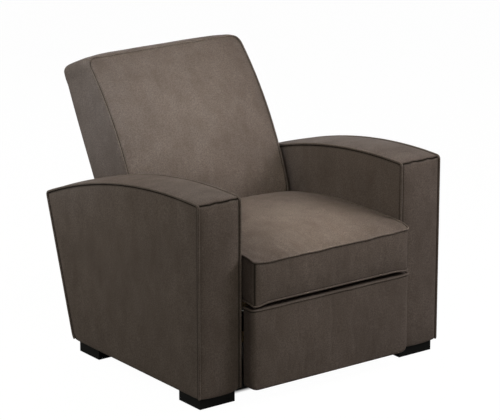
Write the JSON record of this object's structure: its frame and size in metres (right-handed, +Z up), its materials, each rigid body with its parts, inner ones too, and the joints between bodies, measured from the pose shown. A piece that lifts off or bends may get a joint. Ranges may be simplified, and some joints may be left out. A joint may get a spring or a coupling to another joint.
{
  "type": "cinema recliner seat",
  "caption": "Leather push-back recliner with broad arched arms, a boxed seat cushion, a leaning padded back and a fold-out footrest.",
  "frame": {"origin": "on the floor, under the middle of the bounding box", "axes": "+X to the sitter's left, -Y the way the sitter faces, +Z up"},
  "size_m": [0.89, 0.969, 0.8773],
  "materials": {
    "leather": "soft satin",
    "black_wood": "satin black lacquer",
    "frame_wood": "sanded, unfinished",
    "mechanism": "black powder coat",
    "zinc_steel": "zinc plated",
    "spring_steel": "oiled wire",
    "nylon": "moulded",
    "black_fabric": "woven"
  },
  "bodies": {
    "base": {"arm_frame_left": "frame_wood", "arm_frame_right": "frame_wood", "arm_outer_cover_left": "leather", "arm_outer_cover_right": "leather", "arm_inner_cover_left": "leather", "arm_inner_cover_right": "leather", "arm_top_cover_left": "leather", "arm_top_cover_right": "leather", "arm_front_cover_left": "leather", "arm_front_cover_right": "leather", "foot_front_left": "black_wood", "foot_front_right": "black_wood", "foot_rear_left": "black_wood", "foot_rear_right": "black_wood", "foot_glides": "nylon", "foot_bolts": "zinc_steel", "base_front_rail": "frame_wood", "base_rear_rail": "frame_wood", "rear_valance": "leather", "seat_track_left": "mechanism", "seat_track_right": "mechanism", "track_screws": "zinc_steel", "back_guides": "mechanism"},
    "seat": {"seat_plate_left": "mechanism", "seat_plate_right": "mechanism", "seat_side_rail_left": "frame_wood", "seat_side_rail_right": "frame_wood", "seat_front_rail": "frame_wood", "seat_rear_rail": "frame_wood", "seat_springs": "spring_steel", "spring_clips": "zinc_steel", "seat_deck": "black_fabric", "seat_cushion": "leather", "glide_shoes": "nylon", "seat_screws": "zinc_steel", "dust_cover": "black_fabric", "seat_plate_rivets": "zinc_steel", "back_pivot_bolts": "zinc_steel", "closing_springs": "spring_steel"},
    "front_linkage": {"front_links": "mechanism", "torque_tube": "mechanism", "front_link_rivets": "zinc_steel"},
    "rear_linkage": {"rear_links": "mechanism", "rear_link_rivets": "zinc_steel"},
    "carrier": {"carrier_plates": "mechanism"},
    "control": {"control_links": "mechanism"},
    "footrest": {"footrest_board": "frame_wood", "footrest_pad": "leather", "footrest_brackets": "mechanism", "footrest_rivets": "zinc_steel", "footrest_screws": "zinc_steel"},
    "back": {"back_stiles": "frame_wood", "back_rails": "frame_wood", "back_springs": "spring_steel", "back_cushion": "leather", "back_shell": "leather", "back_brackets": "mechanism", "back_guide_pins": "zinc_steel"}
  },
  "joints": [
    {"name": "back_recline", "type": "hinge", "parent": "seat", "child": "back", "pos_m": [0, 0.2262, 0.29], "axis": [-1, 0, 0], "range_deg": [0, 35]},
    {"name": "seat_glide", "type": "slide", "parent": "base", "child": "seat", "axis": [0, -1, 0], "range_m": [0, 0.0592]},
    {"name": "footrest_extend", "type": "hinge", "parent": "seat", "child": "front_linkage", "pos_m": [0, -0.3588, 0.258], "axis": [-1, 0, 0], "range_deg": [0, 96], "deforming": ["closing_springs"]},
    {"name": "rear_link_swing", "type": "hinge", "parent": "seat", "child": "rear_linkage", "pos_m": [0, -0.2938, 0.258], "axis": [-1, 0, 0], "range_deg": [0, 96.1]},
    {"name": "carrier_pivot", "type": "hinge", "parent": "front_linkage", "child": "carrier", "pos_m": [0, -0.26129, 0.11874], "axis": [-1, 0, 0], "range_deg": [-96.1, 0]},
    {"name": "control_pivot", "type": "hinge", "parent": "rear_linkage", "child": "control", "pos_m": [0, -0.17048, 0.08188], "axis": [-1, 0, 0], "range_deg": [-96.1, 0]},
    {"name": "footrest_tilt", "type": "hinge", "parent": "carrier", "child": "footrest", "pos_m": [0, -0.4088, 0.255], "axis": [-1, 0, 0], "range_deg": [0, 96.1]}
  ],
  "couplings": [
    {"joint": "seat_glide", "follows": "back_recline", "m_per_rad": 0.0966},
    {"joint": "rear_link_swing", "follows": "footrest_extend", "ratio": 1},
    {"joint": "carrier_pivot", "follows": "footrest_extend", "ratio": -1},
    {"joint": "control_pivot", "follows": "footrest_extend", "ratio": -1},
    {"joint": "footrest_tilt", "follows": "footrest_extend", "ratio": 1}
  ]
}
